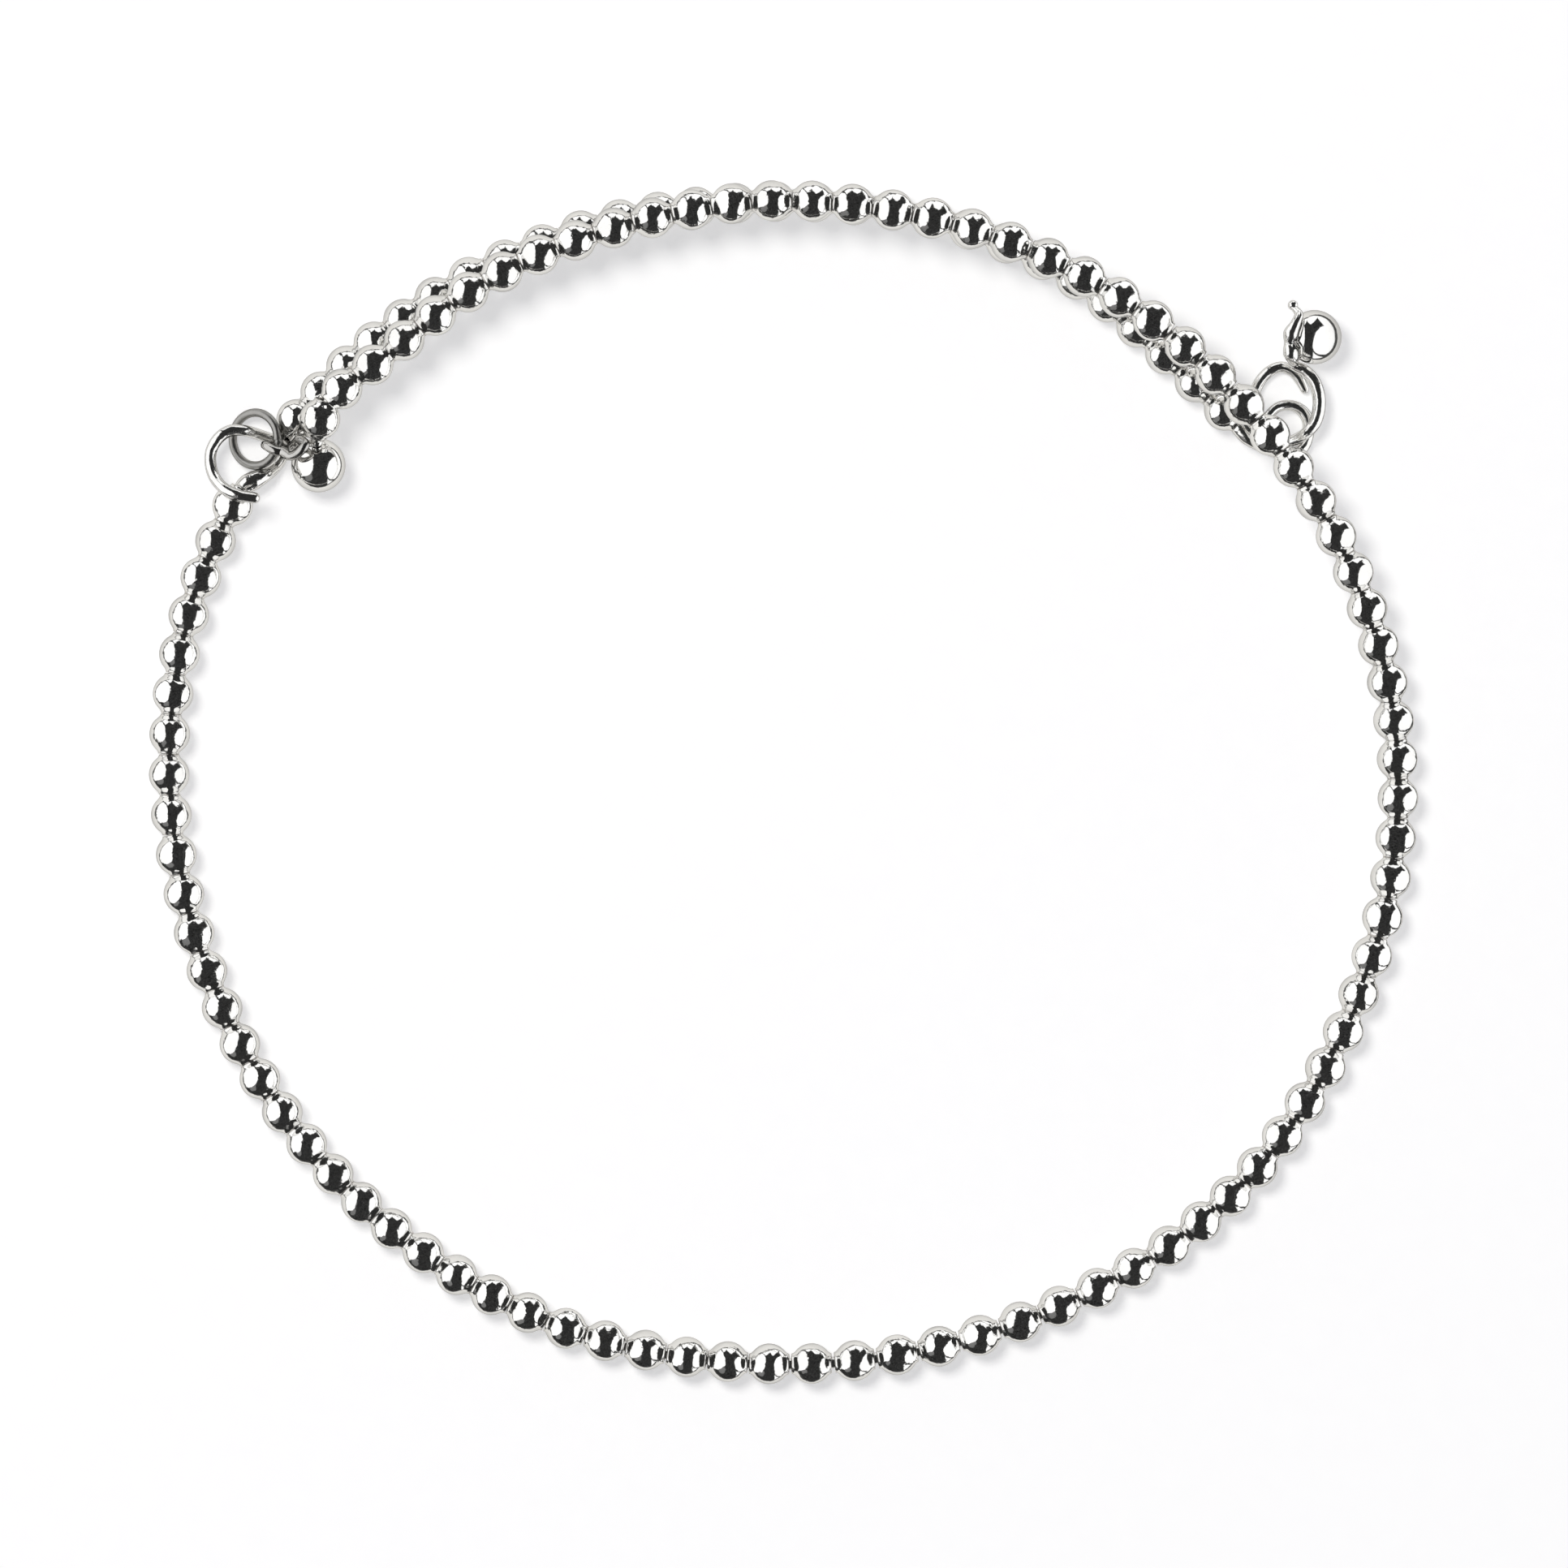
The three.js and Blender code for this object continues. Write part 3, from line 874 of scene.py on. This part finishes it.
@dataclass
class Ball:
    """A polished ball, with a collar towards a point if it has one.

    Args:
        name: the piece's name.
        node: the CAD node it stands for.
        middle: its middle, in millimetres.
        radius: of the ball.
        towards: where its axis points.
        collar: rows of distance past the ball's surface and radius.
        sides: faces round it.
        arc_steps: faces from pole to pole.
    """

    name: str
    node: str
    middle: Vector
    radius: float
    towards: Vector
    collar: Sequence[tuple[float, float]] = ()
    sides: int = 96
    arc_steps: int = 64

    def build(self, shop: Workshop, material: bpy.types.Material) -> None:
        """Make the ball."""
        neck = math.asin(self.collar[0][1] / self.radius) if self.collar else 0.0
        profile = []
        for i in range(self.arc_steps + 1):
            angle = math.pi - i * (math.pi - neck) / self.arc_steps
            radius = 0.0 if i == 0 or (not self.collar and i == self.arc_steps) else (
                self.radius * math.sin(angle))
            profile.append((self.radius * math.cos(angle), radius))
        profile += [(self.radius + along, radius) for along, radius in self.collar]
        bm = turned(profile, self.sides, False)
        turn = turn_to((self.towards - self.middle).normalized())
        place = Matrix.LocRotScale(self.middle * MM, turn, Vector((MM, MM, MM)))
        bmesh.ops.transform(bm, matrix=place, verts=bm.verts)
        shop.piece(self.name, mesh_of(bm, self.name), material, Slot.BEADS, [self.node])


# Stage


@dataclass(frozen=True)
class Panel:
    """A light panel of the tent, by where a polished bead shows it from above.

    Args:
        u: its middle, to the right of the bead's, in bead radii.
        v: its middle, above the bead's.
        half_width: half of its width.
        half_height: half of its height.
        squareness: 2 for an ellipse, more for squarer corners.
        slant: how much further right it is, for each radius up.
    """

    u: float
    v: float
    half_width: float
    half_height: float
    squareness: float
    slant: float = 0.0


LEFT_PANEL = Panel(-0.575, 0.1, 0.365, 0.49, 3.0)
RIGHT_PANEL = Panel(0.615, -0.1, 0.28, 0.43, 2.4, 0.2)
CUSP_SPACING = 0.48


@dataclass
class Studio:
    """Pale table, soft light and the camera straight above.

    Args:
        focus: the middle of the photograph on the table, in millimetres.
        distance: of the camera above the table, in metres.
        key_watts: of the soft light at the upper left.
        fill: strength of the even light from all round.
        through: light that comes up through the pale table.
        key_size: width of the light at the upper left, in metres.
        key_place: where it hangs, in metres.
    """

    focus: Vector
    distance: float = 1.6
    key_watts: float = 3.4
    fill: float = 0.32
    through: float = 0.44
    key_size: float = 0.34
    key_place: tuple[float, float, float] = (-0.27, 0.27, 0.82)

    def camera(self) -> None:
        """Place the camera straight above the photograph's middle."""
        lens = bpy.data.cameras.new("camera")
        frame_width = PHOTO_PIXELS / PIXELS_PER_MM * MM
        lens.sensor_width = 36.0
        lens.lens = lens.sensor_width * self.distance / frame_width
        lens.clip_start = 0.01
        lens.clip_end = 50.0
        lens.dof.use_dof = False
        eye = bpy.data.objects.new("camera", lens)
        eye.location = (self.focus.x * MM, self.focus.y * MM, self.distance)
        bpy.context.scene.collection.objects.link(eye)
        bpy.context.scene.camera = eye

    def table(self) -> None:
        """Lay the pale table that everything rests on."""
        bm = bmesh.new()
        bmesh.ops.create_circle(bm, cap_ends=True, segments=96, radius=4.0)
        top = self.stage_piece("table", mesh_of(bm, "table"), self.table_finish())
        top.visible_glossy = False

    def table_finish(self) -> bpy.types.Material:
        """Matt pale light table with the faintest grain."""
        material = bpy.data.materials.new("pale_card")
        material.use_nodes = True
        bench = NodeBench(material.node_tree)
        at = bench.coordinates()
        grain = bench.noise(at, 1.2, 3.0)
        colour = bench.mix_colour(grain, (0.895, 0.895, 0.9, 1), (0.915, 0.915, 0.915, 1))
        shader = bench.node(
            "ShaderNodeBsdfPrincipled", {},
            {"Base Color": colour, "Roughness": 0.9, "Specular IOR Level": 0.1,
             "Emission Color": colour, "Emission Strength": self.through},
        )
        bench.node("ShaderNodeOutputMaterial", {}, {"Surface": shader})
        return material

    @staticmethod
    def stage_piece(
        name: str, mesh: bpy.types.Mesh, material: bpy.types.Material
    ) -> bpy.types.Object:
        """Put a part of the stage in the scene."""
        mesh.materials.append(material)
        part = bpy.data.objects.new(name, mesh)
        bpy.context.scene.collection.objects.link(part)
        return part

    def tent(self) -> None:
        """Set up the tent that the silver mirrors: white panels and a white top in the dark."""
        bm = bmesh.new()
        bmesh.ops.create_uvsphere(bm, u_segments=48, v_segments=24, radius=1.5)
        wall = self.stage_piece("light_tent", mesh_of(bm, "light_tent"), self.tent_finish())
        self.only_mirrored(wall)

    @staticmethod
    def panel(u: Socket, v: Socket, shape: "Panel") -> Socket:
        """How far out of a light panel a direction is: 1 at the panel's edge."""
        across = abs((u - shape.u - (v - shape.v) * shape.slant) / shape.half_width)
        along = abs((v - shape.v) / shape.half_height)
        return across**shape.squareness + along**shape.squareness

    def tent_finish(self) -> bpy.types.Material:
        """Glow of the tent by direction: u and v are where a polished bead shows it from above."""
        material = bpy.data.materials.new("light_tent")
        material.use_nodes = True
        bench = NodeBench(material.node_tree)
        at = bench.coordinates()
        unit = bench.node("ShaderNodeVectorMath", {"operation": "NORMALIZE"}, (at,))
        split = bench.node("ShaderNodeSeparateXYZ", {}, (unit,))
        x = split
        y = Socket(bench, split.socket.node.outputs["Y"])
        z = Socket(bench, split.socket.node.outputs["Z"])
        size = (z * 2.0 + 2.0).at_least(0.0004) ** 0.5
        u = x / size
        v = y / size
        left = self.panel(u, v, LEFT_PANEL)
        right = self.panel(u, v, RIGHT_PANEL)
        cusp = abs((u / CUSP_SPACING + 0.5).fraction() - 0.5) * 2.0
        ridge = 0.66 - cusp ** 0.6 * 0.2 - (abs(u) - 0.45).at_least(0.0) * 0.8
        soft = 0.02
        top = v.step(ridge, soft) * left.step(1.4, 0.05)
        corner = (1 - v.step(-0.4, soft)) * u.step(0.33, soft) * right.step(1.35, 0.05)
        white = (1 - left.step(1.0, 0.05)).at_least(1 - right.step(1.0, 0.05))
        white = white.at_least(top).at_least(corner)
        across, along = u + 0.36, v + 0.44
        patch = 1 - (across * across + along * along).step(0.018, 0.006)
        speckle = bench.noise(unit, 60.0, 3.0, 0.7)
        ground = 0.007 + speckle.step(0.5, 0.18) * 0.045 + patch * 0.16
        glow = white * 1.1 + ground
        shine = bench.node("ShaderNodeEmission", {}, {"Strength": glow})
        bench.node("ShaderNodeOutputMaterial", {}, {"Surface": shine})
        return material

    def tray(self) -> None:
        """Set the pale tray under the clear table that the sides of the beads mirror."""
        west, east, south, north, depth = -200.0, 72.0, -115.0, 400.0, -50.0
        floor = (((west + east) / 2, (south + north) / 2, depth), (east - west, north - south), "")
        rims = (
            ((east, (south + north) / 2, depth + 9), (18, north - south), "Y"),
            ((west, (south + north) / 2, depth + 13), (26, north - south), "Y"),
            (((west + east) / 2, south, depth + 8), (east - west, 16), "X"),
            (((west + east) / 2, north, depth + 22), (east - west, 44), "X"),
        )
        for number, (middle, (width, height), stood) in enumerate((floor, *rims)):
            bm = bmesh.new()
            bmesh.ops.create_grid(bm, x_segments=1, y_segments=1, size=0.5)
            bmesh.ops.scale(bm, vec=(width * MM, height * MM, 1.0), verts=bm.verts)
            if stood:
                bmesh.ops.rotate(bm, matrix=Matrix.Rotation(math.pi / 2, 3, stood), verts=bm.verts)
            place = (Vector(middle) + self.focus) * MM
            bmesh.ops.translate(bm, vec=place, verts=bm.verts)
            glow = self.glow("tray_rim", 0.08) if stood else self.glow("tray_floor", 0.85)
            part = self.stage_piece(f"tray_{number}", mesh_of(bm, "tray"), glow)
            self.only_mirrored(part)

    @staticmethod
    def only_mirrored(part: bpy.types.Object) -> None:
        """Let a part of the stage show in reflections alone."""
        part.visible_camera = False
        part.visible_diffuse = False
        part.visible_shadow = False
        part.visible_transmission = False

    @staticmethod
    def glow(name: str, strength: float) -> bpy.types.Material:
        """A slightly warm even glow."""
        material = bpy.data.materials.new(name)
        material.use_nodes = True
        bench = NodeBench(material.node_tree)
        shine = bench.node(
            "ShaderNodeEmission", {}, {"Color": (1.0, 0.985, 0.955, 1.0), "Strength": strength}
        )
        bench.node("ShaderNodeOutputMaterial", {}, {"Surface": shine})
        return material

    def light(self) -> None:
        """Light the table: a soft light from the upper left and an even fill."""
        lamp = bpy.data.lights.new("key", "AREA")
        lamp.shape = "DISK"
        lamp.size = self.key_size
        lamp.energy = self.key_watts
        lamp.color = (1.0, 0.985, 0.95)
        holder = bpy.data.objects.new("key", lamp)
        holder.location = self.key_place
        holder.rotation_euler = (-holder.location).to_track_quat("-Z", "Y").to_euler()
        holder.visible_glossy = False
        holder.visible_camera = False
        bpy.context.scene.collection.objects.link(holder)
        world = bpy.data.worlds.new("studio")
        world.use_nodes = True
        bench = NodeBench(world.node_tree)
        glow = bench.node(
            "ShaderNodeBackground", {}, {"Color": (0.94, 0.94, 1.0, 1.0), "Strength": self.fill}
        )
        bench.node("ShaderNodeOutputWorld", {}, {"Surface": glow})
        bpy.context.scene.world = world
        bpy.context.scene.view_settings.view_transform = "Standard"
        bpy.context.scene.view_settings.look = "None"

    def build(self) -> None:
        """Set the stage."""
        self.camera()
        self.table()
        self.tent()
        self.tray()
        self.light()


# The bracelet


@dataclass
class Bracelet:
    """All pieces of the bracelet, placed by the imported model.

    Args:
        end_ball_radius: of the ball on the free end.
        drop_ball_radius: of the drop's ball.
    """

    end_ball_radius: float = 1.4
    drop_ball_radius: float = 1.4
    offset: Vector = field(init=False)

    def __post_init__(self) -> None:
        """Find the coil's middle in the frame from the drop ball's place."""
        unplaced = self.drop_ball_place(BeadLine(SHORT_ROUTE, Vector()).points[0])
        low, high = (Vector(corner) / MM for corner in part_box("drop_ball"))
        self.offset = (low + high) / 2 - unplaced
        self.offset.z = 0.0

    def drop_ring_place(self, start: Vector) -> Vector:
        """Middle of the drop's ring."""
        return Vector((start.x + 1.105 * DROP_EYE_SPAN, start.y + 0.47 * DROP_EYE_SPAN, 0.0))

    def drop_ball_place(self, start: Vector) -> Vector:
        """Middle of the drop's ball."""
        ring = self.drop_ring_place(start)
        return Vector((
            ring.x + 0.347 * DROP_RING_LENGTH, ring.y + 0.872 * DROP_RING_LENGTH,
            self.drop_ball_radius,
        ))

    def build(self, shop: Workshop) -> None:
        """Make every piece."""
        bead_silver = SilverFinish("polished_bead_silver", Slot.BEADS).make()
        wire_silver = SilverFinish(
            "drawn_wire_silver", Slot.WIRE, bright=(0.92, 0.915, 0.9), gloss=0.06, wear=0.09,
            scratch_mm=0.014, scratch_depth=0.0004, swell=0.03, edge_tint=0.4,
        ).make()
        # The link ring's silver is darker and rougher than the other wire.
        ring_silver = SilverFinish(
            "darker_ring_silver", Slot.WIRE, bright=(0.42, 0.415, 0.4), dull=(0.3, 0.29, 0.27),
            gloss=0.3, wear=0.1, swell=0.02, edge_tint=0.35,
        ).make()
        # Painted shade: the short eye's silver is made darker to stand in for the shade beside the
        # beads that its wire mirrors.
        eye_silver = SilverFinish(
            "painted_shade_eye_silver", Slot.WIRE, bright=(0.6, 0.59, 0.57), dull=(0.2, 0.19, 0.18),
            gloss=0.12, wear=0.1, swell=0.05, edge_tint=0.2,
        ).make()
        ball_silver = SilverFinish(
            "polished_ball_silver", Slot.BEADS, gloss=0.03, dimple=0.006, swell=0.05).make()

        long_strand = Strand("long_strand", LONG_ROUTE, self.offset, seed=11)
        short_strand = Strand("short_strand", SHORT_ROUTE, self.offset, seed=23)
        for strand in (long_strand, short_strand):
            strand.build(shop, bead_silver, wire_silver)
        long_start, long_end = long_strand.line.points[0], long_strand.line.points[-1]
        short_start, short_end = short_strand.line.points[0], short_strand.line.points[-1]

        BentWire("long_eye_wire", "long_strand_eye", long_start, LONG_EYE_SPAN, BEAD_DIAMETER,
                 0.29, LONG_EYE_ROWS).build(shop, wire_silver)
        BentWire("short_eye_wire", "short_strand_eye", short_end, SHORT_EYE_SPAN, BEAD_DIAMETER,
                 0.24, SHORT_EYE_ROWS).build(shop, eye_silver)
        BentWire("drop_eye_wire", "drop_eye", short_start, DROP_EYE_SPAN, BEAD_DIAMETER, 0.26,
                 DROP_EYE_ROWS).build(shop, wire_silver)
        link_place = Vector((long_start.x + 0.69, long_start.y + 2.5125, 0.49 * BEAD_DIAMETER))
        LinkRing(link_place).build(shop, ring_silver)
        DropRing(self.drop_ring_place(short_start)).build(shop, wire_silver)

        radius = self.end_ball_radius
        end_place = Vector((long_end.x + 0.07 * radius, long_end.y - 1.05 * radius, radius))
        collar_reach = (long_end - end_place).length - radius
        collar = [
            (-0.02, 0.22), (0.03, 0.24), (0.1, 0.3), (0.18, 0.32), (0.26, 0.3), (0.31, 0.23),
            (0.36, 0.2), (0.41, 0.24), (0.5, 0.3), (0.58, 0.3),
            (collar_reach - 0.05, 0.26), (collar_reach, 0.2), (collar_reach, 0.0),
        ]
        Ball("end_ball_polished", "end_ball", end_place, self.end_ball_radius, long_end,
             collar).build(shop, ball_silver)
        drop_place = self.drop_ball_place(short_start)
        drop_silver = SilverFinish(
            "flattened_ball_silver", Slot.BEADS, gloss=0.03, dimple=0.006, swell=0.03,
            flat_side=(drop_place.x - 0.5, 0.42),
        ).make()
        above = drop_place + Vector((0, 0, 1))
        Ball("drop_ball_polished", "drop_ball", drop_place, self.drop_ball_radius,
             above + Vector((0.001, 0, 0))).build(shop, drop_silver)
        pin = BentWire("drop_pin_wire", "drop_pin", drop_place, self.drop_ball_radius,
                       self.drop_ball_radius, 0.18,
                       [(x, y, z + 1.0, g) for x, y, z, g in PIN_ROWS])
        pin.build(shop, wire_silver)


def main() -> None:
    """Build the bracelet and its stage."""
    logging.basicConfig(level=logging.INFO, format="%(name)s: %(message)s")
    shop = Workshop()
    bracelet = Bracelet()
    bracelet.build(shop)
    Studio(bracelet.offset + PHOTO_MIDDLE).build()
    log.info("%d pieces", len(shop.made))


if __name__ == "__main__":
    main()
